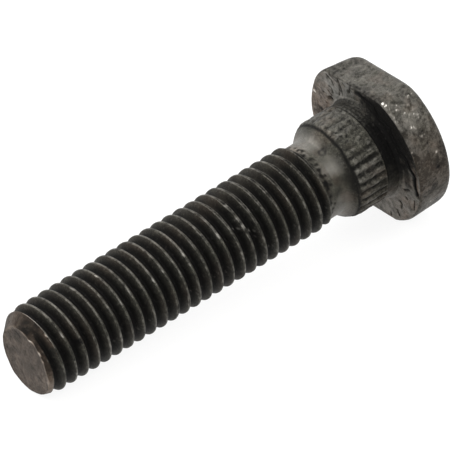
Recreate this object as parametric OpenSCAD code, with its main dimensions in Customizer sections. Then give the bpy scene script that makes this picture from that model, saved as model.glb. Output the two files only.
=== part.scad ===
// Knurled press-in stud with a clipped round head, lying at rest on its head rim and its tip.
// Millimetres, +Z up. The stud points to -X. The origin is on its axis, midway along the serrations.

/* [Thread] */
// Major diameter over the crests
thread_d = 9.82; // [9.5:0.05:10.5]
// Pitch
pitch = 1.5; // [1.25:0.05:1.75]
// Depth of the rolled groove
groove_h = 0.92; // [0.6:0.02:1.05]
// From the tip face to the end of the run-out
thread_l = 38.3; // [20:0.5:39]
// Length over which the groove runs out
runout_l = 1.4; // [0.8:0.1:3]
// Height of the first crest above the tip face, on the down side
crest_start = 0.46; // [0.2:0.02:1]
// Diameter of the tip face
tip_d = 8; // [7.2:0.1:8.4]
// Length of the tip chamfer
tip_l = 1.5; // [0.8:0.1:2.5]

/* [Shank] */
// Diameter of the plain shank
shank_d = 8.98; // [8.7:0.02:9.4]
// From the tip face to the underside of the head
reach = 46.5; // [46:0.5:60]

/* [Serrated seat] */
// Diameter over the lands of the serrations
seat_d = 11.6; // [11:0.02:13]
// Length of the serrated band
seat_l = 3.35; // [2:0.05:3.8]
// Length of the lead from the shank up to the lands
lead_l = 1.75; // [1.2:0.05:2]
// Number of serrations
serrations = 32; // [24:1:40]
// Depth of a serration
serration_h = 0.3; // [0.15:0.05:0.4]
// Share of each serration that is land
land_share = 0.5; // [0.45:0.05:0.6]
// Diameter of the plain neck between the serrations and the head
neck_d = 11.5; // [10.9:0.05:12.5]
// Length of the neck
neck_l = 1.75; // [1:0.05:2.5]
// Radius of the fillet under the head
neck_fillet = 0.3; // [0.1:0.05:0.6]

/* [Head] */
// Diameter of the round part of the head
head_d = 17.9; // [16:0.02:20]
// How far the head was forged off the axis
head_off = 0.1; // [0:0.02:0.3]
// Direction that it is off to, round from the down side
head_off_at = 310; // [270:5:330]
// Thickness of the head
head_t = 4.55; // [3:0.05:6]
// From the axis to the clipped flat
flat_at = 8; // [7:0.05:8.5]
// How much the corner between the flat and the round side is rounded off
corner_cut = 0.2; // [0.05:0.05:0.4]
// The same for the corner between the flat and the lobe
lobe_corner_cut = 0.06; // [0.04:0.02:0.2]
// From the axis to the narrow trimmed face on the down side, which the head lies on
foot_at = 8.6; // [8.4:0.05:9]
// How far the forged lobe beside the flat stands out
lobe_h = 0.85; // [0:0.05:1.2]
// Direction of the lobe, round from the down side
lobe_at = 122; // [105:1:140]
// Width of the lobe as an angle
lobe_w = 104; // [60:1:110]
// How far the rim draws in from the underside to the top
rim_draft = 0.15; // [0:0.01:0.4]
// Rounding of the outer edge of the head
top_round = 0.85; // [0.4:0.05:1.4]
// Rounding of the underside edge of the head
under_round = 0.3; // [0.2:0.05:1]

/* [Hidden] */
$fn = 96;
thread_sides = 28;
head_sides = 72;
bite = 0.03;
cut_over = 0.15;
thread_r = thread_d/2;
root_r = thread_r - groove_h;
shank_r = shank_d/2;
seat_r = seat_d/2;
head_r = head_d/2;
seat_end = reach - neck_l;
seat_start = seat_end - seat_l;
seat_mid = (seat_start + seat_end)/2;
lead_start = seat_start - lead_l;
// The first whole crest past the chamfer on the down side is what the tip rests on.
rest_z = crest_start + pitch*ceil((tip_l - crest_start)/pitch);
rest_rise = reach + under_round - rest_z;
foot = min(foot_at, head_r);
rest_step = foot - under_round - thread_r;
lie = atan(rest_step/rest_rise) + asin(under_round/norm([rest_rise, rest_step]));

// One pitch of the rolled thread: share of the pitch, then share of the groove depth.
form = [[-1/16, 0], [1/16, 0], [3/8, 0.88], [1/2, 1], [5/8, 0.88]];
turns = ceil(thread_l/pitch) + 3;
fade_from = thread_l - runout_l;
function fade(z) = min(1, max(0, (z - fade_from)/runout_l));
function thread_at(z, depth) =
    (thread_r - depth*groove_h)*(1 - fade(z)) + (shank_r - bite)*fade(z);
function thread_point(side, k, f) =
    let (z = crest_start + (k - 2 + f[0] + side/thread_sides)*pitch)
    let (r = thread_at(z, f[1]))
    [r*cos(360*side/thread_sides), r*sin(360*side/thread_sides), z];
per = len(form);
column = turns*per + 1;
function at(side, i) =
    side < thread_sides ? side*column + i : i + per;

// Right-hand thread as one closed mesh: columns of points round the axis, joined a pitch further
// on where the last column meets the first.
module thread_solid() {
    points = [
        for (side = [0:thread_sides - 1]) for (i = [0:column - 1])
            thread_point(side, floor(i/per), form[i % per])
    ];
    low = [0, 0, crest_start - 1.4*pitch];
    high = [0, 0, crest_start + (turns - 1.6)*pitch];
    n = len(points);
    last = column - 1 - per;
    walls = [
        for (side = [0:thread_sides - 1]) for (i = [0:last - 1 + (side < thread_sides - 1 ? per : 0)])
            each [
                [at(side, i), at(side, i + 1), at(side + 1, i + 1)],
                [at(side, i), at(side + 1, i + 1), at(side + 1, i)]
            ]
    ];
    bottom = [for (side = [0:thread_sides - 1]) [n, at(side, 0), at(side + 1, 0)]];
    top = [
        for (side = [0:thread_sides - 2])
            [n + 1, at(side + 1, column - 1), at(side, column - 1)]
    ];
    start_step = [for (i = [0:per - 1]) [n, at(0, i + 1), at(0, i)]];
    end_step = [for (i = [last:column - 2]) [n + 1, at(thread_sides - 1, i), at(thread_sides - 1, i + 1)]];
    close = [[n + 1, at(0, column - 1), at(thread_sides - 1, last)]];
    polyhedron(concat(points, [low, high]), concat(walls, bottom, top, start_step, end_step, close));
}

// The thread cut back to the flat tip face and its chamfer.
module thread() {
    slope = (thread_r - tip_d/2)/tip_l;
    intersection() {
        thread_solid();
        rotate_extrude()
            polygon([
                [0, 0], [tip_d/2, 0], [tip_d/2 + slope*2*tip_l, 2*tip_l],
                [tip_d/2 + slope*2*tip_l, thread_l + pitch], [0, thread_l + pitch]
            ]);
    }
}

// Everything turned in one line: shank, lead, seat, neck and the fillet that runs into the head.
module turned_body() {
    neck_r = neck_d/2;
    fillet = [
        for (a = [0:15:90])
            [neck_r + neck_fillet*(1 - cos(a)), reach - neck_fillet*(1 - sin(a))]
    ];
    rotate_extrude()
        polygon(concat(
            [
                [0, thread_l], [shank_r, thread_l], [shank_r, lead_start],
                [seat_r - 0.58, lead_start + 0.37*lead_l], [seat_r - 0.24, lead_start + 0.66*lead_l],
                [seat_r, seat_start], [seat_r, seat_end], [neck_r, seat_end]
            ],
            fillet,
            [[neck_r + neck_fillet, reach + head_t/2], [0, reach + head_t/2]]
        ));
}

// Wedge-shaped cutters for the serrations, open at the lead and running out just into the neck.
module serration_cuts() {
    step = 360/serrations;
    half = seat_r*tan(step*(1 - land_share)/2);
    flare = half/serration_h;
    for (k = [0:serrations - 1])
        rotate([0, 0, (k + 0.5)*step])
            translate([0, 0, lead_start])
                linear_extrude(seat_end + cut_over - lead_start)
                    polygon([
                        [seat_r - serration_h, 0],
                        [seat_r + 0.5, -flare*(serration_h + 0.5)],
                        [seat_r + 0.5, flare*(serration_h + 0.5)]
                    ]);
}

// Outline of the forged head: round, with one lobe, clipped by the flat on the up side and
// trimmed a little on the down side.
function bump(a) =
    abs(a) < lobe_w/2 ? pow(cos(180*a/lobe_w), 0.25) : 0;
function head_out(a) =
    let (soft = ln(2)/(a < 180 ? lobe_corner_cut : corner_cut))
    let (round = head_r + head_off*cos(a - head_off_at) + lobe_h*bump(a - lobe_at))
    let (flat = cos(a - 180) > 0.3 ? flat_at/cos(a - 180) : 99)
    let (under = cos(a) > 0.3 ? foot/cos(a) : 99)
    min(under, -ln(exp(-soft*round) + exp(-soft*flat))/soft);
// Rim of the head from the underside to the top: how far in from the outline, and how high.
rim = concat(
    [for (a = [0:30:90]) [under_round*(1 - sin(a)), under_round*(1 - cos(a))]],
    [for (a = [0:22.5:90]) [top_round*(1 - cos(a)), head_t - top_round*(1 - sin(a))]]
);

module head_solid() {
    rows = concat([[rim[0][0], -1]], rim);
    points = [
        for (row = rows) for (s = [0:head_sides - 1])
            let (a = 360*s/head_sides)
            let (r = head_out(a) - row[0] - rim_draft*row[1]/head_t)
            [r*cos(a), r*sin(a), row[1]]
    ];
    count = len(rows);
    walls = [
        for (j = [0:count - 2]) for (s = [0:head_sides - 1])
            let (t = (s + 1) % head_sides)
            each [
                [j*head_sides + s, (j + 1)*head_sides + s, (j + 1)*head_sides + t],
                [j*head_sides + s, (j + 1)*head_sides + t, j*head_sides + t]
            ]
    ];
    under = [[for (s = [0:head_sides - 1]) s]];
    over = [[for (s = [head_sides - 1:-1:0]) (count - 1)*head_sides + s]];
    polyhedron(points, concat(walls, under, over));
}

module head() {
    translate([0, 0, reach])
        intersection() {
            head_solid();
            cylinder(h = head_t + 1, r = head_r + 4);
        }
}

module stud() {
    color([0.27, 0.26, 0.25])
        rotate([0, 90 - lie, 0])
            translate([0, 0, -seat_mid])
                union() {
                    thread();
                    difference() {
                        turned_body();
                        serration_cuts();
                    }
                    head();
                }
}

stud();
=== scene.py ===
# Press-in stud with a serrated seat, one piece of forged steel, lying on its head's rim and its tip.
# The mesh is made upright in millimetres, tip face at zero and head on top, and laid down at the end.
# Angles go round the axis in degrees, from 0 on the side that ends up underneath to 180 on top.
import math
import bmesh
import bpy
from mathutils import Matrix, Vector, noise


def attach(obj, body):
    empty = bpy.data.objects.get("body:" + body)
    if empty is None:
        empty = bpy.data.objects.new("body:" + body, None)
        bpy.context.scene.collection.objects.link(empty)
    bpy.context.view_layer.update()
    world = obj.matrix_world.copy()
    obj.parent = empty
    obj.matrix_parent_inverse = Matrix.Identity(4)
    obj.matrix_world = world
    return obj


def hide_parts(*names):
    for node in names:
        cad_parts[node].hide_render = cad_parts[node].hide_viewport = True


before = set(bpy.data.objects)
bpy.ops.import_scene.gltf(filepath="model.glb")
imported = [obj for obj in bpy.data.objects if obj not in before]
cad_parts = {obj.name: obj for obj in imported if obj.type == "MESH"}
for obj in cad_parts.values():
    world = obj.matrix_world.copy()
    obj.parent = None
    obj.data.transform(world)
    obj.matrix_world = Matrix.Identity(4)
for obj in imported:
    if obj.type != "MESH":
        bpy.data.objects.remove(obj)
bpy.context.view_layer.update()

# Threaded length. The plain rod is rolled cold between dies, which press the groove in and squeeze
# the crests up from both flanks, so the crests are narrow lands, some with an open seam along them.
CREST_R, PITCH, GROOVE = 4.91, 1.5, 0.92
FIRST_CREST = 0.5
RUNOUT_FROM, RUNOUT_TO = 37.2, 38.2
SHANK_R = 4.49
TIP_CHAMFER = 1.5
SEAM_HALF, SEAM_DEPTH = 0.075, 0.10
CHIP_DEPTH, SCRAPE_DEPTH = 0.07, 0.10
THREAD_COLUMNS = 96
THREAD_TOP = 38.8
WELD = 0.003
SPECKS_PER_MM = 7
THREAD_FORM = (  # share of the pitch from the crest, share of the groove's depth
    (-0.5, 1), (-0.43, 0.97), (-0.36, 0.84), (-0.27, 0.585), (-0.165, 0.29), (-0.09, 0.08),
    (-0.058, 0.012), (-0.026, 0), (0, 0), (0.026, 0), (0.058, 0.012), (0.09, 0.08), (0.165, 0.29),
    (0.27, 0.585), (0.36, 0.84), (0.43, 0.97), (0.5, 1),
)
TIP_EDGE = (  # angle and radius of the ragged edge of the tip face, which was sheared a little askew
    (0, 4.55), (18, 4.6), (40, 4.6), (59, 4.16), (96, 3.65), (124, 3.51), (149, 3.54), (170, 3.85),
    (202, 3.94), (212, 3.84), (217, 4.22), (222, 4.3), (228, 4.14), (234, 4.12), (238, 4.3),
    (243, 4.16), (246, 3.98), (250, 4.16), (262, 3.98), (275, 4.02), (285, 4.27), (295, 4.21),
    (306, 4.29), (328, 4.44), (353, 4.49), (360, 4.55),
)
KNOCKS_AND_GLINTS = (  # angle, height, half length and depth of flats knocked on the crests; from 187 to 249 degrees they are painted bright as glints
    (207, 1.33, 0.4, 0.05), (222, 1.42, 0.3, 0.05), (231, 2.88, 0.40, 0.09), (187, 10.1, 0.35, 0.05),
    (232, 14.9, 0.30, 0.05), (228, 16.3, 0.30, 0.06), (225, 19.3, 0.45, 0.05), (227, 23.9, 0.40, 0.06),
    (199, 26.7, 0.45, 0.05), (222, 26.8, 0.40, 0.09), (233, 26.9, 0.35, 0.09), (249, 31.2, 0.40, 0.06),
    (227, 31.1, 0.40, 0.05), (75, 8.2, 0.5, 0.08), (310, 17.2, 0.5, 0.07), (30, 24.3, 0.6, 0.08),
    (345, 31.4, 0.4, 0.07), (110, 33.6, 0.5, 0.06), (20, 6.1, 0.4, 0.06),
)
SCRAPES = (  # angle, height and half length of dark places: chips in the run-out, tears in the flanks
    (183, 38.25, 0.42), (190.5, 37.88, 0.45), (189.5, 38.45, 0.26), (203, 38.2, 0.40),
    (213, 38.22, 0.36), (222.5, 38.08, 0.45), (229, 37.9, 0.4), (233, 38.02, 0.45), (239, 38.0, 0.42),
    (244, 37.92, 0.46), (251.5, 37.9, 0.45), (262, 37.95, 0.4), (273.5, 37.8, 0.36),
    (284, 38.05, 0.32), (247, 38.5, 0.3), (233, 38.4, 0.22), (206, 26.3, 0.5), (250, 4.4, 0.6),
    (80, 20.0, 0.8), (15, 12.4, 0.7), (330, 28.6, 0.9), (290, 9.6, 0.6),
)


def smooth(start, end, x):
    """Nothing at the start, one at the end, and an even curve between them."""
    t = min(1, max(0, (x - start) / (end - start)))
    return t * t * (3 - 2 * t)


def grain(size, x, y, z, seed=0):
    """Smooth noise between about -1 and 1, with features of that size, unlike that of other seeds.
    An angle is divided by the degrees that make a millimetre: about 12 on the thread, 10 on the seat."""
    return noise.noise(Vector((x / size + 17.3 * seed, y / size - 5.1 * seed, z / size + 3.7)))


def turn_from(lam, centre):
    """Degrees from the centre angle, the short way round."""
    return (lam - centre + 180) % 360 - 180


def around(lam, centre, half):
    """One at the centre angle, falling to nothing half a width away."""
    return 1 - smooth(0, half, abs(turn_from(lam, centre)))


def polar(vert):
    """Angle and radius of a vertex."""
    return math.degrees(math.atan2(vert.co.y, vert.co.x)) % 360, math.hypot(vert.co.x, vert.co.y)


def to(lam, r, z):
    """The point at that angle, radius and height."""
    return Vector((r * math.cos(math.radians(lam)), r * math.sin(math.radians(lam)), z))


def along(points, x):
    """Straight lines through those points."""
    for (x0, y0), (x1, y1) in zip(points, points[1:]):
        if x <= x1:
            return y0 + (y1 - y0) * max(0, x - x0) / (x1 - x0)
    return points[-1][1]


def tip_face_r(lam):
    """Radius of the tip face's ragged edge."""
    return along(TIP_EDGE, lam) + 0.04 * grain(0.5, lam / 9, 0, 0, 3)


def open_seam(lam, z):
    """How far the rolled crest is left open along its middle."""
    rolled_open = smooth(21, 27, z) * around(lam, 200, 42)
    elsewhere = smooth(0.05, 0.4, grain(1, lam / 50, z / 7, 0, 1))
    return max(rolled_open, 0.6 * elsewhere) * (0.75 + 0.5 * grain(0.5, lam / 14, z, 0, 2))


def sparkle(place, share):
    """One on scattered specks, over that share of a place."""
    return 1.0 if noise.cell(place * SPECKS_PER_MM) > 1 - share else 0.0


def spot(marks, lam, z, r):
    """How near the nearest of those marks is, one at its middle, and its fourth value if it has one.
    A mark starts with its angle, height and half length."""
    best, value = 0.0, 0.0
    for centre, height, half, *last in marks:
        if abs(z - height) < 2 * half:
            across = math.radians(turn_from(lam, centre)) * r
            near = 1 - smooth(0.2, 1, math.hypot(across, z - height) / half)
            if near > best:
                best, value = near, last[0] if last else 0
    return best, value


def shank_wear_and_light(lam, z):
    """How bright the drawn shank and the run-out before it are painted: rubbed metal, and by side painted
    light, lighter on top and on the low side, a painted highlight round 229 degrees and painted shade
    round 252 degrees.
    """
    wear_and_light_by_side = 0.48 + 0.14 * around(lam, 176, 20) - 0.08 * around(lam, 184, 12) \
        - 0.30 * smooth(186, 200, lam) + 0.32 * around(lam, 229, 20) - 0.2 * around(lam, 252, 20) \
        + 0.15 * smooth(264, 280, lam) + 0.16 * smooth(285, 300, lam)
    return wear_and_light_by_side + 0.06 * grain(0.9, lam / 12, z, 0, 37) \
        + 0.2 * grain(0.28, lam / 12, z, 0, 57) * around(lam, 174, 34)


# The finish is painted on the points: bare metal where rubbed, with painted highlights and glints,
# burnished above 0.9; dark grime with painted shade; brown rust; and a share that calms the mottle. own
# is each point's place on the upright stud.
stud = bmesh.new()
wear_and_highlight, grime_and_shade, rust, even = (stud.verts.layers.float.new(name) for name in ("wear_and_highlight", "grime_and_shade", "rust", "even"))
own = stud.verts.layers.float_vector.new("own")
rung = [stud.verts.new((CREST_R - depth * GROOVE, 0, FIRST_CREST + (share - 1) * PITCH))
        for share, depth in THREAD_FORM]
steps = [stud.edges.new(pair) for pair in zip(rung, rung[1:])]
bmesh.ops.spin(stud, geom=rung + steps, cent=(0, 0, 0), axis=(0, 0, 1), angle=2 * math.pi,
               dvec=(0, 0, PITCH / THREAD_COLUMNS), steps=THREAD_COLUMNS, use_merge=False,
               use_normal_flip=False, use_duplicate=False)
one_turn = stud.verts[:] + stud.edges[:] + stud.faces[:]
for turn in range(1, math.ceil(THREAD_TOP / PITCH) + 2):
    copied = bmesh.ops.duplicate(stud, geom=one_turn)["geom"]
    bmesh.ops.translate(stud, vec=(0, 0, turn * PITCH),
                        verts=[item for item in copied if isinstance(item, bmesh.types.BMVert)])
bmesh.ops.remove_doubles(stud, verts=stud.verts, dist=WELD)

for vert in stud.verts:
    # Where the point is on the thread. The first groove runs in gradually behind the tip face.
    lam, r = polar(vert)
    z = vert.co.z
    depth = (CREST_R - r) / GROOVE
    turned = (z - FIRST_CREST) / PITCH - lam / 360
    share = (turned + 0.5) % 1 - 0.5
    started = 1 if turned > 0 else smooth(160, 238, lam) if turned > -1 else 0
    r = CREST_R - (CREST_R - r) * started
    crest = 1 - smooth(0.05, 0.11, abs(share))
    fade = smooth(RUNOUT_FROM, RUNOUT_TO, z + 0.25 * grain(25, lam, z, 0, 4))

    # Shape: the open seam, knocks and tears, the run-out into the shank, and the tip's chamfer.
    seam = min(1, open_seam(lam, z)) * (1 - fade)
    if abs(share) < 0.1:
        vert.co.z += math.copysign(SEAM_HALF, share) * seam * (abs(share) > 0.01)
        r -= SEAM_DEPTH * seam * (1 - smooth(0, 0.03, abs(share)))
    knock, knocked = spot(KNOCKS_AND_GLINTS, lam, z, CREST_R)
    scrape, _ = spot(SCRAPES, lam, z, CREST_R)
    torn = around(lam, 238, 30) * smooth(24.4, 25.6, z) * (1 - smooth(29.2, 30.6, z))
    chips = torn * smooth(0.05, 0.5, grain(0.45, lam / 11, z * 1.3, 0, 38))
    r -= CHIP_DEPTH * chips * (1 - 0.5 * crest)
    r -= knock * knocked * crest + 0.02 * crest * max(0, grain(0.8, lam / 12, z, 0, 5))
    r -= scrape * SCRAPE_DEPTH * abs(grain(0.35, r * lam / 57, z, 0, 6))
    r += 0.012 * grain(1.2, lam / 12, z * 1.4, r, 7) * (1 - crest)
    r = r * (1 - fade) + (SHANK_R - 0.004) * fade
    face_r = tip_face_r(lam)
    chamfer = face_r + (CREST_R + 0.02 - face_r) * z / TIP_CHAMFER \
        + 0.03 * grain(0.5, lam / 11, z, 0, 8)
    cut = r > chamfer
    brink = (1 - smooth(0.04, 0.13, abs(r - chamfer))) * (share > 0.03) * (z > 0.9) * around(lam, 202, 62)
    r = min(r, chamfer)
    vert.co = to(lam, r, vert.co.z)

    # Finish: brown on the chamfer, and elsewhere grime and painted shade in the groove, painted light on
    # the far flank, and rubbed crests.
    vert[even] = 0.6 * fade
    if cut:
        vert[rust] = 0.9
        # The chamfer is painted lighter on the low side round 300 degrees and a little round 155, and
        # darker round 197.
        vert[wear_and_highlight] = max(0.5 * around(lam, 300, 40), 0.16 * around(lam, 155, 36))
        vert[grime_and_shade] = (0.45 + 0.3 * smooth(-0.3, 0.4, grain(0.5, lam / 11, z, 0, 11))
                      + 0.2 * around(lam, 197, 25)) \
            * (1 - around(lam, 305, 50)) * (1 - 0.5 * around(lam, 158, 36))
    else:
        core = seam * (abs(share) < 0.03)
        hollow = smooth(0.12, 0.85, depth) if share < 0 else smooth(0.5, 0.95, depth)
        near_flank = smooth(-0.36, -0.2, share) * (1 - smooth(-0.12, -0.05, share))
        far_flank = smooth(0.05, 0.1, share) * (1 - smooth(0.16, 0.38, share))
        # Painted light: the groove is painted paler on the top side, from 18 to 28 mm up.
        top_light = 0.4 * smooth(18, 28, z) * around(lam, 168, 34)
        stain = smooth(0.05, 0.35, grain(0.45, lam / 15, z, 0, 24)) * smooth(0.3, 0.8, fade) \
            * (1 - smooth(38.2, 38.5, z + 0.3 * grain(0.8, lam / 13, 0, 0, 44)))
        # The groove is painted dark with grime and painted shade.
        groove_grime_and_shade = 0.2 * (1 - crest) * (1 - far_flank) + 0.16 * near_flank + 0.8 * hollow
        vert[grime_and_shade] = min(1, groove_grime_and_shade * (1 - top_light) * (1 - fade) + 0.9 * scrape + 0.8 * stain
                         + 0.9 * core + 0.6 * chips)
        worn = 0.22 + 0.25 * grain(0.7, lam / 14, z, 0, 9) \
            + 0.5 * smooth(0.2, 0.7, grain(0.35, lam / 12, z, 0, 40)) - 0.2 * around(lam, 251, 28)
        # The far flank is painted lighter, as painted light.
        on_crest = (crest * max(0, worn) + 0.3 * far_flank) * (1 - core)
        # Knocked flats are painted bright; from 187 to 249 degrees this is a painted glint.
        knock_glint = (0.9 - 0.35 * smooth(25, 26.5, z)) * knock ** 2 * crest
        speck = max(torn, 0.5 * around(lam, 285, 30)) * sparkle(to(lam, r, z), 0.07)
        # The shank is painted darker round 245 degrees, as painted shade.
        on_shank = shank_wear_and_light(lam, z) - 0.16 * around(lam, 245, 60)
        vert[wear_and_highlight] = on_crest * (1 - fade) + knock_glint + 0.6 * speck \
            + fade * (1 - stain) * (1 - scrape) * on_shank
        vert[rust] = (0.33 * smooth(-0.1, 0.5, grain(3.5, lam / 12, z, r, 10))
                      + 0.2 * around(lam, 170, 50)) * (1 - 0.8 * crest)
        if started < 1:
            vert[rust] = 0.7
            vert[grime_and_shade] *= 0.55 + 0.45 * started
    vert[wear_and_highlight] = max(vert[wear_and_highlight], (1.0 + 0.4 * grain(0.4, lam / 11, 0, 0, 55)) * brink)
    vert[grime_and_shade] *= 1 - brink
    vert[rust] *= 1 - brink
for height, side in ((0, {"clear_inner": True}), (THREAD_TOP, {"clear_outer": True})):
    bmesh.ops.bisect_plane(stud, geom=stud.verts[:] + stud.edges[:] + stud.faces[:], dist=1e-4,
                           plane_co=(0, 0, height), plane_no=(0, 0, 1), **side)

# Tip face, sheared flat before the thread was rolled. Rolling pushed a ragged lip up along one side
# of its edge, and later knocks have rubbed that lip bright.
LIP_H, LIP_RUB, DISH = 0.05, 1.15, 0.03
TIP_MIDDLE = 0.02
TIP_ROWS = (0.985, 0.965, 0.93, 0.88, 0.81, 0.72, 0.61, 0.49, 0.36, 0.22, 0.09)
LIP = (  # angle, half width and strength of the places where that edge stands proud, rubbed bright
    (160, 36, 0.35), (196, 12, 0.5), (214, 10, 1.0), (221, 5, 0.6), (238, 6, 1.2), (250, 5, 0.8),
    (268, 12, 0.35), (289, 12, 0.6),
)


def rim_edges(z):
    """The open edges at that height."""
    return [edge for edge in stud.edges if edge.is_boundary and abs(edge.verts[0].co.z - z) < 0.02
            and abs(edge.verts[1].co.z - z) < 0.02]


def grow(ring):
    """One more row of faces on an open edge: the new row's edges and vertices, still in the old place."""
    made = bmesh.ops.extrude_edge_only(stud, edges=ring)["geom"]
    verts = {item for item in made if isinstance(item, bmesh.types.BMVert)}
    edges = [item for item in made if isinstance(item, bmesh.types.BMEdge)
             and item.verts[0] in verts and item.verts[1] in verts]
    return edges, verts


def close_face(ring, rows, finish, middle_z):
    """Rows of faces in from an open edge, each a share of its radius, up to a point in the middle."""
    outer = 1
    for row in rows:
        ring, verts = grow(ring)
        for vert in verts:
            lam, r = polar(vert)
            r *= row / outer
            height, vert[wear_and_highlight], vert[grime_and_shade], vert[rust] = finish(lam, r, row)
            vert.co = to(lam, r, height)
        outer = row
    # Any one of the last row may be the one that is left, so all of them take the middle's finish.
    for vert in verts:
        _, vert[wear_and_highlight], vert[grime_and_shade], vert[rust] = finish(0, 0, 0)
    bmesh.ops.pointmerge(stud, verts=list(verts), merge_co=(0, 0, middle_z))


def tip_lip(lam):
    """How high the ragged lip stands on the tip face's edge."""
    return max(strength * around(lam, centre, half) for centre, half, strength in LIP)


def tip_point(lam, r, row):
    """Height and finish of the tip face."""
    place = to(lam, r, 0)
    lip = smooth(0.90, 0.96, row + 0.03 * grain(0.4, lam / 9, 0, 0, 54)) * tip_lip(lam)
    mottle, shade = grain(0.9, *place, 13), grain(2.6, *place, 41)
    dish = DISH * smooth(1, 0.93, row) + 0.012 * mottle + 0.006 * grain(0.3, *place, 14)
    bright = max(0, 0.13 + 0.26 * mottle + 0.12 * shade) + LIP_RUB * lip
    # Painted shade: the tip face is painted darker towards the top, with dark spots besides.
    dark = 0.34 * smooth(-3, 3, r * math.cos(math.radians(lam - 165))) + 0.1 \
        + 0.5 * smooth(0.25, 0.55, grain(0.35, *place, 45)) * (1 - min(1, lip))
    return max(0, dish) - LIP_H * lip, bright, dark, min(1, 0.9 + 0.25 * mottle)


ring = rim_edges(0)
for vert in {vert for edge in ring for vert in edge.verts}:
    lam, _ = polar(vert)
    vert[wear_and_highlight] += LIP_RUB * tip_lip(lam)
    vert[grime_and_shade] *= 1 - min(1, tip_lip(lam))
close_face(ring, TIP_ROWS, tip_point, TIP_MIDDLE)

# Plain shank, lead, serrated seat and neck. The shank is the drawn rod, the seat is upset and its
# serrations are rolled in, and fitting has torn and smeared some of their ridges.
SEAT_START, SEAT_END, NECK_R = 41.4, 44.75, 5.75
SEAT_OFF, SEAT_OFF_AT = 0.10, 140
LEAD_TOP, NECK_START = 41.0, 44.8
RING_PITCH = 0.46
UNDERSIDE = 46.5
SEAT_MID = (SEAT_START + SEAT_END) / 2
SERRATION, SERRATION_DEPTH = 11.25, 0.3
STAIN_AT, STAIN_Z, STAIN_R = 203, 39.7, 0.33
SEAT_COLUMNS = 384
LEAD = (  # height and radius from the shank up to the ridges
    (38.9, SHANK_R), (39.6, SHANK_R), (39.8, 4.52), (40.05, 4.72), (40.4, 5.12), (40.9, 5.52),
    (41.15, 5.68), (41.4, 5.78), (41.8, 5.80),
)
SEAT_ROWS = (
    38.95, 39.1, 39.25, 39.4, 39.55, 39.68, 39.8, 39.92, 40.04, 40.16, 40.28, 40.4, 40.52, 40.64, 40.76,
    40.88, 41.0, 41.12, 41.26, 41.4, 41.55, 41.7, 41.85, 42.0, 42.15, 42.3, 42.45, 42.6, 42.75, 42.9,
    43.05, 43.2, 43.35, 43.5, 43.65, 43.8, 43.95, 44.1, 44.25, 44.4, 44.52, 44.62, 44.69, 44.74, 44.82,
    44.95, 45.1, 45.25, 45.4, 45.55, 45.7, 45.85, 46.0, 46.1, 46.2, 46.28,
)


def smeared_seat(lam):
    """How far the ridges are smeared flat on the upper side."""
    return smooth(125, 150, lam) * (1 - smooth(207, 228, lam))


def valley(lam, z):
    """Depth of the gap between two ridges here, from nothing on a ridge to about 1."""
    place = (lam + 1.2 * grain(2.2, lam / 9, z * 0.5, 0, 15)) / SERRATION
    k = math.floor(place)
    off = abs(place - k - 0.5)
    rolled = (1 - smooth(0.04, 0.42, off)) * (0.7 + 0.4 * noise.cell(Vector((k + 0.5, 7.5, 0))))
    torn = (1 - smooth(0.02, 0.18, 0.5 - off)) * smooth(-0.2, 0.4, grain(1.3, place * 2, z * 0.5, 0, 17))
    worn = 0.55 * smeared_seat(lam) + 0.2 * smooth(0, 0.5, grain(0.6, lam / 9.9, z * 0.8, 0, 48))
    return max(rolled, 0.3 * torn) * (1 - min(0.75, worn))


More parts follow.
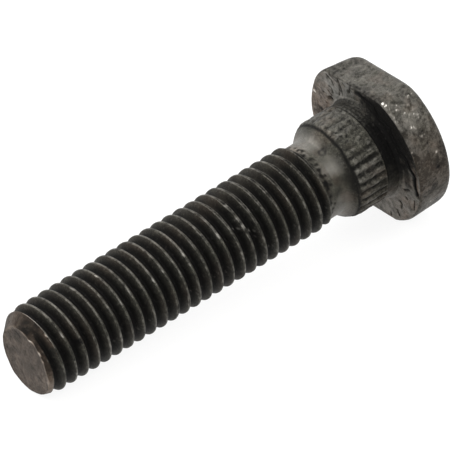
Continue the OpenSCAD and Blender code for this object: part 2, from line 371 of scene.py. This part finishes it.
def seat_point(lam, z):
    """Radius and finish of the shank, lead, seat and neck."""
    # Serrations, with streaks along them and flakes torn out.
    smeared = smeared_seat(lam)
    band = smooth(40.95, 41.35, z) * (1 - smooth(44.60, 44.72, z))
    gap = valley(lam, z) if band > 0 else 0
    streak = 0.7 * grain(0.5, lam / 8 + 0.35 * z, z * 0.5, 0, 18) \
        + 0.5 * grain(0.3, lam / 9 + 0.5 * z, z * 0.8, 0, 19) + 0.7 * grain(0.42, lam / 9.9, z, 0, 46)
    flake = smooth(0.18, 0.45, grain(0.33, lam / 9.9 + 0.3 * z, z, 0, 47))
    r = along(LEAD, z) if z < SEAT_END - 0.03 else NECK_R
    r += band * (0.055 * streak - 0.02 - SERRATION_DEPTH * gap - (0.03 + 0.04 * smeared) * flake)

    # Lead, with a crease where it meets the ridges, painted dark as a shadow, and painted shade on its
    # cone round 255 degrees.
    flare = smooth(39.6, 40.0, z) * (1 - smooth(41.0, 41.3, z))
    wander = 0.15 * around(lam, 262, 45)
    crease_and_shadow = 1 - smooth(0.05, 0.22, abs(z - LEAD_TOP + wander + 0.05 * grain(1, lam / 14, 0, 0, 36)))
    lead_shade = around(lam, 255, 48) * smooth(40.0, 40.65, z) * (1 - smooth(41.1, 41.3, z))
    r += flare * 0.02 * grain(0.6, lam / 10, z, 0, 20) - 0.06 * crease_and_shadow

    # Neck, turned in fine rings, with an undercut behind the ridges and a fillet under the head.
    neck = smooth(44.74, 44.84, z)
    rings = math.sin((z - 44.9) * 2 * math.pi / RING_PITCH) * (1 - smooth(45.9, 46.1, z))
    r -= 0.10 * (1 - smooth(0, 0.16, abs(z - 44.86))) * neck
    r += neck * (0.026 * rings + 0.03 * grain(0.7, lam / 10, z, 0, 21)) \
        + 0.30 * smooth(46.15, 46.32, z) ** 2

    # Shank, with a dent and a ring-shaped stain; the seat is a little off its axis.
    shank = 1 - smooth(40.55, 40.9, z)
    dent = around(lam, 203, 9) * (1 - smooth(0.1, 0.5, abs(z - 39.5)))
    r -= 0.04 * dent + 0.006 * abs(grain(1.0, lam / 12, z, 0, 22))
    r += SEAT_OFF * smooth(40, 41.5, z) * (1 - smooth(44.9, 46, z)) \
        * math.cos(math.radians(lam - SEAT_OFF_AT))
    from_stain = math.hypot((lam - STAIN_AT) / 12.8, z - STAIN_Z)
    stain_ring = (0.9 + 0.5 * grain(0.3, lam / 12, z, 0, 58)) * shank \
        * (1 - smooth(0.06, 0.2, abs(from_stain - STAIN_R)))

    # The ridges are painted lighter on top and round 250 degrees and darker round 222 degrees, as painted
    # light and shade.
    ridge_wear_and_light = 0.13 + 0.30 * smooth(0.0, 0.8, streak) + 0.13 * around(lam, 178, 42) \
        - 0.08 * around(lam, 222, 30) + 0.14 * around(lam, 250, 34)
    # The neck is painted lighter on top, as painted light, where its rings show, and lighter on the low
    # side from 282 degrees.
    neck_rings_and_light = (0.14 + 0.08 * rings) * around(lam, 180, 46) \
        + 0.45 * smooth(282, 316, lam) * (1 - smooth(335, 358, lam))
    # The lead's cone is painted darker all round, as painted shade.
    bright = shank * shank_wear_and_light(lam, z) * (1 - 0.72 * smooth(39.95, 40.6, z)) \
        + band * (1 - min(1, gap)) * ridge_wear_and_light + neck * neck_rings_and_light
    # The gaps are painted dark with grime and painted shade, most round 240 degrees; torn flakes are dark
    # too.
    gap_grime_and_shade = (0.6 + 0.2 * around(lam, 240, 40)) * smooth(0.1, 0.8, gap) + (0.4 + 0.4 * smeared) * flake
    neck_shade = 0.55 + 0.6 * around(lam, 238, 62) + 0.25 * grain(0.3, lam / 9.9, z * 0.35, 0, 56) \
        - 0.6 * smooth(272, 302, lam)
    dark = 0.95 * max(crease_and_shadow, 0.9 * lead_shade) + band * gap_grime_and_shade + stain_ring + neck * neck_shade \
        + 0.4 * (1 - smooth(0.0, 0.1, abs(z - NECK_START)))
    brown = 0.25 * smooth(0, 0.5, grain(1.6, lam / 11, z, 0, 23)) \
        + 0.15 * around(lam, 310, 70) * (z > 39.8)
    return r, min(1, max(0, bright)), min(1, max(0, dark)), min(1, brown)


top = rim_edges(THREAD_TOP)
verts = bmesh.ops.create_circle(stud, cap_ends=False, segments=SEAT_COLUMNS, radius=SHANK_R,
                                matrix=Matrix.Translation((0, 0, SEAT_ROWS[0])))["verts"]
circle = set(verts)
ring = [edge for edge in stud.edges if edge.verts[0] in circle and edge.verts[1] in circle]
bmesh.ops.bridge_loops(stud, edges=top + ring)
for z in SEAT_ROWS:
    if z > SEAT_ROWS[0]:
        ring, verts = grow(ring)
    for vert in verts:
        lam, _ = polar(vert)
        r, vert[wear_and_highlight], vert[grime_and_shade], vert[rust] = seat_point(lam, z)
        vert[even] = 0.1 + 0.65 * (1 - smooth(40.0, 40.9, z))
        vert.co = to(lam, r, z)

# Head, upset hot from the rod and trimmed flat on one side. The metal has folded over itself under
# the rim, where a lap runs round beside the flat, and it bulges in a lobe where the die was open.
HEAD_R, HEAD_T, FLAT_AT, FOOT_AT = 8.95, 4.55, 8.0, 8.6
HEAD_OFF, HEAD_OFF_AT, CORNER_CUT, LOBE_CORNER_CUT = 0.1, 310, 0.2, 0.06
LOBE, LOBE_AT, LOBE_HALF = 0.85, 122, 52
UNDER_ROUND, TOP_ROUND, DRAFT = 0.3, 0.85, 0.15
FILLET_R = 6.1
LAP_FROM, LAP_HALF, LAP_DEPTH = 0.22, 0.19, 0.5
NOWHERE = 99  # further out than any edge
NEAR_CRACK = 14  # degrees from its first point, beyond which no crack reaches
LAP = (  # angle and radius of the lap under the head
    (150, 7.9), (168, 8.1), (176, 8.1), (182, 7.5), (188, 7.3), (196, 7.25), (203, 7.4), (207, 6.95),
    (213, 6.55), (219, 6.75), (227, 7.2), (231, 6.8), (236, 6.6), (248, 6.65), (253, 7.1), (257, 7.45),
    (264, 7.55), (268, 7.95), (271, 8.2), (276, 8.05), (281, 8.05), (286, 8.4), (290, 8.5),
    (298, 8.1), (303, 8.25), (309, 8.4), (330, 8.0),
)
CRACKS = (  # on the underside: half width, depth, then angle and radius of each point
    (0.12, 0.16, (144.9, 9.0), (145.8, 8.6)), (0.08, 0.10, (145.8, 8.6), (147.7, 8.2), (147.2, 7.7)),
    (0.08, 0.12, (157.9, 8.9), (157.7, 8.2), (157.0, 7.5)), (0.10, 0.14, (157.0, 7.5), (155, 7.2)),
    (0.07, 0.10, (155, 7.2), (153, 6.9), (148, 6.4)), (0.31, 0.32, (127.4, 6.7), (129, 6.6)),
    (0.08, 0.10, (133.7, 7.5), (134.1, 7.1), (134.6, 6.75)), (0.14, 0.10, (167.5, 6.87), (168.5, 7.0)),
    (0.07, 0.10, (174.4, 8.3), (171.8, 7.5), (169.2, 6.8)), (0.06, 0.08, (157.9, 7.3), (153.3, 6.3)),
    (0.08, 0.10, (161.4, 9.2), (157.9, 8.8)), (0.06, 0.08, (139, 7.9), (141, 7.4), (139, 6.9)),
    (0.05, 0.08, (125, 8.0), (127, 7.4)), (0.05, 0.08, (163, 7.9), (164.5, 7.4)),
    (0.05, 0.08, (150, 8.9), (151.5, 8.3)), (0.13, 0.12, (319.5, 6.75), (320, 7.1), (324.5, 7.45)),
    (0.12, 0.10, (332.5, 7.55), (333, 8.25)), (0.12, 0.08, (305, 6.9), (305.5, 7.2)),
    (0.10, 0.12, (298, 8.1), (302.5, 8.3), (307.5, 8.5)), (0.10, 0.06, (298, 6.4), (292, 7.0)),
    (0.09, 0.08, (344.5, 8.0), (345, 8.35)), (0.06, 0.08, (40, 6.6), (48, 7.5), (52, 8.4)),
    (0.05, 0.06, (15, 7.2), (22, 7.6)), (0.06, 0.08, (78, 6.9), (84, 8.2)),
)
LAP_ROWS = (-LAP_HALF, -0.15, -0.10, -0.04, 0.04, 0.10, 0.15, LAP_HALF)
UNDERSIDE_ROWS = [("inner", t / 9) for t in range(10)] + [("lap", t) for t in LAP_ROWS] \
    + [("outer", t / 10) for t in range(1, 11)]


def bulge(lam):
    """Shape of the lobe: one in its middle, nearly level, and steep at its sides."""
    near = abs(turn_from(lam, LOBE_AT))
    return math.cos(math.radians(90 * near / LOBE_HALF)) ** 0.25 if near < LOBE_HALF else 0


def outline(lam, height=0):
    """Radius of the head's edge; the lobe falls away towards the outer face."""
    lobe = LOBE - 0.085 * height - 0.25 * smooth(3.2, 4.5, height)
    round_r = HEAD_R + HEAD_OFF * math.cos(math.radians(lam - HEAD_OFF_AT)) + lobe * bulge(lam) \
        - 0.12 * around(lam, 114, 22)
    up, down = math.cos(math.radians(lam - 180)), math.cos(math.radians(lam))
    flat = FLAT_AT / up if up > 0.3 else NOWHERE
    foot = FOOT_AT / down if down > 0.3 else NOWHERE
    soft = math.log(2) / (LOBE_CORNER_CUT if lam < 180 else CORNER_CUT)
    return min(foot, -math.log(math.exp(-soft * round_r) + math.exp(-soft * flat)) / soft)


def lap_open(lam):
    """How far the lap gapes: from beside the flat to the low side, and a little once more beyond."""
    opened = smooth(172, 178, lam) * (1 - smooth(289, 292, lam)) * (0.45 + 0.55 * smooth(252, 262, lam))
    return max(opened, 0.12 * smooth(297, 300, lam) * (1 - smooth(307, 311, lam)))


def crack(lam, r):
    """How much of a crack is here, and how deep it goes."""
    place, best = to(lam, r, 0), (0.0, 0.0)
    for half, depth, *points in CRACKS:
        if abs(turn_from(lam, points[0][0])) < NEAR_CRACK:
            ends = [to(a, b, 0) for a, b in points]
            for a, b in zip(ends, ends[1:]):
                t = max(0, min(1, (place - a).dot(b - a) / (b - a).length_squared))
                here = 1 - smooth(0.3, 1.6, (place - a.lerp(b, t)).length / half)
                if here > best[0]:
                    best = (here, depth)
    return best


for part, t in UNDERSIDE_ROWS:
    ring, verts = grow(ring)
    for vert in verts:
        lam, _ = polar(vert)
        edge, opened = outline(lam) - UNDER_ROUND, lap_open(lam)
        lap = min(along(LAP, lam) + 0.08 * grain(0.5, lam / 7, 0, 0, 24), edge - 0.28)
        if part == "inner":
            r, fold, gap = FILLET_R + (lap - LAP_FROM - FILLET_R) * t, 0, 0
        elif part == "lap":
            r, fold, gap = lap + t, smooth(0, 0.10, t), 1 - smooth(0.08, 0.17, abs(t))
        else:
            r, fold, gap = lap + LAP_HALF + (edge - lap - LAP_HALF) * t, 1 - t, 0
        here, depth = crack(lam, r)
        place = to(lam, r, 0)
        rough = grain(0.7, *place, 25) + 0.5 * grain(0.25, *place, 26)
        z = UNDERSIDE + (0.03 + 0.03 * around(lam, 125, 40)) * rough - 0.03 * fold * opened \
            + LAP_DEPTH * gap * opened + here * depth
        vert.co = to(lam, r, z - 0.03 * smooth(0.4, 0, r - FILLET_R))

        near_lap = (1 - smooth(0.2, 0.5, abs(r - lap + 0.08))) * smooth(0.2, 0.6, opened)
        outside = smooth(0, 0.4, r - lap) * smooth(266, 290, lam)
        shaded = max(smooth(168, 205, lam) * (1 - smooth(252, 282, lam)) * (1 - 0.6 * outside),
                     0.95 * around(lam, 265, 39) * (1 - smooth(6.8, 7.6, r)))
        brown = max(around(lam, 106, 36), 0.35 * around(lam, 325, 60))
        vert[grime_and_shade] = min(1, max(1.6 * gap * opened, near_lap) + 0.95 * here + 0.95 * shaded
                         + 0.30 * smooth(0.2, 0.8, grain(0.9, *place, 27))
                         + 0.55 * brown * smooth(0.05, 0.4, grain(0.4, *place, 49)))
        pressed = 0.46 + (0.35 + 0.2 * around(lam, 135, 40)) * rough - 0.12 * brown \
            + 0.09 * around(lam, 318, 32) + 0.08 * around(lam, 135, 30)
        glint = 1.4 * around(lam, 115.4, 1.6) * (abs(r - 8.98) < 0.2)
        vert[wear_and_highlight] = max(0, pressed) * (1 - vert[grime_and_shade]) + glint
        vert[rust] = min(1, 0.9 * brown + 0.7 * opened * (fold > 0.2)
                         + 0.45 * smooth(-0.1, 0.6, grain(1.3, *place, 28)))

# Rim of the head, left as it was forged. Scale has pitted it all over, knocks in handling have rubbed a
# few small spots down to bright steel, and more spots and specks are painted bright as glints and
# sparkles.
RIM_ROWS = 25
FACE_DROP = 0.01
PITS = (  # on the rim: angle, height, half length and depth
    (254.9, 48.5, 0.24, 0.10), (249.5, 48.8, 0.22, 0.08), (252, 48.65, 0.16, 0.08),
    (94, 49.1, 0.26, 0.10), (270, 49.2, 0.3, 0.05), (188, 48.7, 0.25, 0.03), (278, 48.6, 0.3, 0.04),
    (240, 48.8, 0.18, 0.05), (101, 50.4, 0.2, 0.05), (35, 48.9, 0.3, 0.08), (55, 47.6, 0.25, 0.07),
    (5, 49.8, 0.3, 0.06), (320, 49.6, 0.25, 0.06), (155, 47.9, 0.3, 0.05),
)
GLINTS = (  # on the rim: angle, height, half length and extra brightness of painted glints, a few of them spots knocked bright
    (209.3, 46.77, 0.22, 0.9), (211.5, 46.9, 0.13, 1.0), (211.9, 46.75, 0.13, 0.8), (215.8, 46.87, 0.13),
    (215.3, 47.86, 0.13), (218.8, 47.5, 0.13), (223, 48.1, 0.13), (219.9, 49.1, 0.14),
    (223.5, 49.3, 0.13), (227.1, 49.05, 0.15), (228.3, 49.35, 0.18, 0.3), (228.6, 47.8, 0.12),
    (234, 47.85, 0.17, 0.2), (235.6, 48.25, 0.16, 0.2), (258.2, 49.45, 0.2, 0.2), (249.1, 46.6, 0.14),
    (253, 46.7, 0.12), (263.4, 46.9, 0.15), (70, 48.9, 0.16), (300, 48.2, 0.14), (115, 46.75, 0.16),
)
GLITTER = (  # on the rim: angle, height and half length of patches of tiny painted sparkles
    (213, 49.9, 0.7), (221.5, 49.2, 0.6), (217, 47.7, 0.6), (229, 49.2, 0.5), (226, 48.1, 0.6),
    (235, 48.0, 0.5), (224, 46.8, 0.5), (205, 48.6, 0.5), (242, 48.6, 0.4), (75, 48.5, 0.6),
    (320, 48.9, 0.6),
)
RIM = [(UNDER_ROUND * (1 - math.sin(a)), UNDER_ROUND * (1 - math.cos(a))) for a in (0.45, 0.9, 1.3)] \
    + [(0, UNDER_ROUND + (HEAD_T - UNDER_ROUND - TOP_ROUND) * t / RIM_ROWS)
       for t in range(RIM_ROWS + 1)] \
    + [(TOP_ROUND * (1 - math.cos(a)), HEAD_T - FACE_DROP - TOP_ROUND * (1 - math.sin(a)))
       for a in (0.26, 0.52, 0.79, 1.05, 1.31, 1.57)]
for inset, height in RIM:
    ring, verts = grow(ring)
    for vert in verts:
        lam, _ = polar(vert)
        z = UNDERSIDE + height
        r = outline(lam, height) - inset - DRAFT * height / HEAD_T
        place = to(lam, r, z)
        pit, depth = spot(PITS, lam, z, r)
        glint, extra = spot(GLINTS, lam, z, r)
        glint *= 0.5 + extra + 0.6 * noise.cell(place * SPECKS_PER_MM)
        glint = max(glint, 0.62 * spot(GLITTER, lam, z, r)[0] * sparkle(place, 0.23))
        scale = abs(grain(0.55, *place, 29)) + 0.5 * abs(grain(0.22, *place, 30))
        coarse = grain(1.6, *place, 31)
        r -= 0.010 + 0.05 * scale + 0.02 * max(0, coarse) + pit * depth
        vert.co = to(lam, r, z)

        flat = smooth(0.86, 0.95, math.cos(math.radians(lam - 180)))
        low = around(lam, 268, 44)
        low_edge = (1 - smooth(0.25, 0.6, height)) * smooth(165, 173, lam) * (1 - smooth(205, 212, lam))
        # Painted shade on the rim's lower edge round 243 degrees, next to the underside's dark zone.
        under_lip = around(lam, 243, 22) * (1 - smooth(0.2, 1.5, height))
        folded = smooth(138, 148, lam) * (1 - smooth(158, 172, lam))
        vert[even] = 0.25
        grey = 0.34 - 0.35 * scale + 0.03 * flat - 0.10 * low + 0.18 * grain(1.1, *place, 43)
        # The rim is painted bright with glints and sparkles, and a painted highlight runs along its lower
        # edge round 222 degrees.
        vert[wear_and_highlight] = max(0, grey) + 1.6 * glint \
            + 0.3 * (1 - smooth(0.15, 0.35, height)) * around(lam, 222, 17)
        vert[grime_and_shade] = min(1, 0.9 * pit + 0.30 * (1 - flat) * smooth(0.1, 0.6, coarse) + 0.12 * (1 - flat)
                         + 0.22 * low + 0.8 * low_edge + 0.4 * under_lip
                         + 0.45 * folded * smooth(-0.3, 0.4, grain(0.6, *place, 50)))
        vert[rust] = min(1, 0.22 * smooth(0.0, 0.6, grain(1.1, *place, 32)) + 0.06
                         + 0.9 * around(lam, 108, 38) + 0.42 * low)

# Outer face of the head. It was pressed against the heading die, so it is flat, with a cold mottle
# of scale, shallow dents and a worn edge.
FACE_Z = UNDERSIDE + HEAD_T - FACE_DROP
FACE_ROWS = (0.985, 0.96, 0.92, 0.88, 0.83, 0.78, 0.72, 0.66, 0.60, 0.54, 0.47, 0.40, 0.33, 0.26, 0.19,
             0.12, 0.05)


def face_point(lam, r, row):
    """Height and finish of the outer face."""
    place = to(lam, r, 0)
    mottle = 0.5 * grain(2.4, *place, 33) + 0.5 * grain(0.8, *place, 34) + 0.3 * grain(0.4, *place, 51)
    dent = smooth(0.30, 0.5, grain(1.1, *place, 52))
    worn = smooth(0.8, 0.985, row) * (0.6 + 0.6 * grain(1.2, lam / 10, 0, 0, 53))
    bright = max(0, 0.26 + 0.25 * mottle - 0.1 * dent + 0.2 * worn)
    return FACE_Z - 0.02 * abs(mottle) - 0.05 * dent, bright, 0.35 * dent, \
        0.3 * smooth(0.2, 0.8, grain(2.2, *place, 35))


close_face(ring, FACE_ROWS, face_point, FACE_Z)

# The whole stud, closed and laid down: its axis dips towards the tip by what its head's rim and the
# first full crest leave between them.
LIE = 4.705706
METRES = 0.001
bmesh.ops.recalc_face_normals(stud, faces=stud.faces)
for face in stud.faces:
    face.smooth = True
for vert in stud.verts:
    vert[own] = vert.co
stud.transform(Matrix.Rotation(math.radians(90 - LIE), 4, "Y")
               @ Matrix.Diagonal((METRES, METRES, METRES, 1)) @ Matrix.Translation((0, 0, -SEAT_MID)))
mesh = bpy.data.meshes.new("stud_steel")
stud.to_mesh(mesh)
stud.free()
piece = bpy.data.objects.new("stud_steel", mesh)
bpy.context.scene.collection.objects.link(piece)


def linear(hex_colour):
    """An sRGB hex value as linear red, green, blue and alpha."""
    parts = [int(hex_colour[k:k + 2], 16) / 255 for k in (1, 3, 5)]
    return tuple(c / 12.92 if c <= 0.04045 else ((c + 0.055) / 1.055) ** 2.4 for c in parts) + (1,)


def add(tree, kind, settings=None, **links):
    """A node with its settings, and what its inputs take: a value, or another node's output. i0 is
    its first input; a Mix node has its share there, numbers at i2 and i3, and colours at i6 and i7."""
    node = tree.nodes.new(kind)
    for key, value in (settings or {}).items():
        setattr(node, key, value)
    for key, value in links.items():
        by_number = key[0] == "i" and key[1:].isdigit()
        socket = node.inputs[int(key[1:])] if by_number else node.inputs[key.replace("_", " ")]
        if isinstance(value, bpy.types.NodeSocket):
            tree.links.new(value, socket)
        else:
            socket.default_value = value
    return node


# Phosphated steel, oiled. The coat is a dark grey bloom of fine crystals over bright metal. Grime and
# painted shade make it near black in the groove, and it shows light grey metal wherever a crest or an
# edge is rubbed or a highlight is painted.
NUMBERS, COLOURS = {"data_type": "FLOAT"}, {"data_type": "RGBA"}
DARKEN = {"data_type": "RGBA", "blend_type": "MULTIPLY"}
MULTIPLY, MULTIPLY_ADD = {"operation": "MULTIPLY"}, {"operation": "MULTIPLY_ADD"}
steel = bpy.data.materials.new("phosphated_steel_oiled")
steel.use_nodes = True
tree = steel.node_tree
shader = tree.nodes["Principled BSDF"]
at = add(tree, "ShaderNodeAttribute", {"attribute_name": "own"}).outputs["Vector"]
worn_and_lit, grimed_and_shaded, rusted, calm = (add(tree, "ShaderNodeAttribute", {"attribute_name": name}).outputs["Fac"]
                                for name in ("wear_and_highlight", "grime_and_shade", "rust", "even"))
# Crystals of the coat are 0.01 to 0.05 mm and are drawn 0.12 mm wide so that they show.
bloom = add(tree, "ShaderNodeTexNoise", Vector=at, Scale=8.0, Detail=4.0, Roughness=0.65)
crystals = add(tree, "ShaderNodeMix", NUMBERS, i0=calm, i2=bloom.outputs["Fac"], i3=0.5).outputs[0]
coat = add(tree, "ShaderNodeValToRGB", Fac=crystals)
for stop, position, colour in zip(coat.color_ramp.elements, (0.38, 0.62), ("#1e1e1a", "#434139")):
    stop.position, stop.color = position, linear(colour)
# The bath leaves a mottle 0.35 mm wide and blotches a millimetre wide.
cloudy = add(tree, "ShaderNodeTexNoise", Vector=at, Scale=2.8, Detail=4.0, Roughness=0.6)
mottle = add(tree, "ShaderNodeMix", NUMBERS, i0=calm, i2=cloudy.outputs["Fac"], i3=0.5).outputs[0]
mottle_shade = add(tree, "ShaderNodeMapRange", Value=mottle, From_Min=0.34, From_Max=0.66, To_Min=0.6,
                   To_Max=1.42)
mottled = add(tree, "ShaderNodeMix", DARKEN, i0=1.0, i6=coat.outputs["Color"],
              i7=mottle_shade.outputs["Result"])
blotches = add(tree, "ShaderNodeTexNoise", Vector=at, Scale=0.9, Detail=5.0, Roughness=0.6)
blotch_shade = add(tree, "ShaderNodeMapRange", Value=blotches.outputs["Fac"], From_Min=0.35,
                   From_Max=0.65, To_Min=0.5, To_Max=1.45)
blotched = add(tree, "ShaderNodeMix", DARKEN, i0=0.8, i6=mottled.outputs[2],
               i7=blotch_shade.outputs["Result"])
# Rust stains the coat brown, and grime and painted shade darken both.
brown_share = add(tree, "ShaderNodeMath", MULTIPLY, i0=rusted, i1=0.7)
browned = add(tree, "ShaderNodeMix", COLOURS, i0=brown_share.outputs[0], i6=blotched.outputs[2],
              i7=linear("#46372c"))
grime_and_shade_colour = add(tree, "ShaderNodeMix", COLOURS, i0=grimed_and_shaded, i6=browned.outputs[2], i7=linear("#080706"))
# Rubbing bares the metal first where the coat is thin, so the edge of a rubbed place is broken up.
uneven = add(tree, "ShaderNodeMath", MULTIPLY_ADD, i0=mottle, i1=0.7, i2=worn_and_lit)
thinned = add(tree, "ShaderNodeMath", MULTIPLY_ADD, i0=crystals, i1=0.4, i2=uneven.outputs[0])
worn = add(tree, "ShaderNodeMapRange", Value=thinned.outputs[0], From_Min=0.62, From_Max=1.5)
wear = worn.outputs["Result"]
metal = add(tree, "ShaderNodeMix", COLOURS, i0=rusted, i6=linear("#7a7771"), i7=linear("#7b6d60"))
bare = add(tree, "ShaderNodeMix", COLOURS, i0=wear, i6=grime_and_shade_colour.outputs[2], i7=metal.outputs[2])
# Where a knock has burnished the steel, and where glints are painted, it is brightest.
burnish_and_glint = add(tree, "ShaderNodeMapRange", Value=worn_and_lit, From_Min=0.9, From_Max=1.8)
finished = add(tree, "ShaderNodeMix", COLOURS, i0=burnish_and_glint.outputs["Result"], i6=bare.outputs[2],
               i7=linear("#dad6ce"))
tree.links.new(finished.outputs[2], shader.inputs["Base Color"])
shader.inputs["Metallic"].default_value = 0.8
# Bare metal is smoother than the coat, and what is painted dark, grime and painted shade alike, is the
# dullest.
matt = add(tree, "ShaderNodeMapRange", Value=wear, To_Min=0.52, To_Max=0.34)
dull = add(tree, "ShaderNodeMath", MULTIPLY_ADD, i0=grimed_and_shaded, i1=0.25, i2=matt.outputs["Result"])
tree.links.new(dull.outputs[0], shader.inputs["Roughness"])
fine = add(tree, "ShaderNodeTexNoise", Vector=at, Scale=6.0, Detail=5.0, Roughness=0.7)
bump = add(tree, "ShaderNodeBump", Height=fine.outputs["Fac"], Strength=0.7, Distance=0.0001)
tree.links.new(bump.outputs["Normal"], shader.inputs["Normal"])
mesh.materials.append(steel)
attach(piece, "root")
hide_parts("stud")

# Studio: a pale table lit from below, an even white tent, one broad lamp high on the far left and a
# smaller one in front on the right.
FLOOR, FLOOR_HALF = -0.0082664, 3
ground = bmesh.new()
bmesh.ops.create_grid(ground, x_segments=1, y_segments=1, size=FLOOR_HALF)
bmesh.ops.translate(ground, vec=(0, 0, FLOOR), verts=ground.verts)
floor_mesh = bpy.data.meshes.new("floor")
ground.to_mesh(floor_mesh)
ground.free()
floor = bpy.data.objects.new("floor", floor_mesh)
bpy.context.scene.collection.objects.link(floor)
paper = bpy.data.materials.new("matt_white_paper")
paper.use_nodes = True
sheet = paper.node_tree.nodes["Principled BSDF"]
sheet.inputs["Base Color"].default_value = linear("#636362")
sheet.inputs["Roughness"].default_value = 0.9
sheet.inputs["Emission Color"].default_value = linear("#ffffff")
sheet.inputs["Emission Strength"].default_value = 0.88
floor_mesh.materials.append(paper)

for name, place, size, power in (("broad_lamp", (-0.25, 0.35, 0.75), 0.9, 6.0),
                                 ("near_lamp", (0.42, -0.54, 0.60), 0.4, 2.4)):
    lamp = bpy.data.objects.new(name, bpy.data.lights.new(name, "AREA"))
    lamp.data.shape, lamp.data.size, lamp.data.energy = "DISK", size, power
    lamp.location = place
    lamp.rotation_euler = Vector(place).to_track_quat("Z", "Y").to_euler()
    bpy.context.scene.collection.objects.link(lamp)
world = bpy.data.worlds.new("tent")
world.use_nodes = True
world.node_tree.nodes["Background"].inputs["Color"].default_value = (1, 1, 1, 1)
world.node_tree.nodes["Background"].inputs["Strength"].default_value = 1.4
bpy.context.scene.world = world
bpy.context.scene.view_settings.view_transform = "Standard"

# Camera at the photograph's angle, 0.6 m off with a long lens.
camera = bpy.data.objects.new("camera", bpy.data.cameras.new("camera"))
camera.data.sensor_width, camera.data.lens = 36, 465.4
camera.location = (-0.299719, -0.431723, 0.339725)
camera.rotation_euler = tuple(math.radians(a) for a in (56.420125, 6.228714, -37.445514))
bpy.context.scene.collection.objects.link(camera)
bpy.context.scene.camera = camera

bpy.context.view_layer.update()
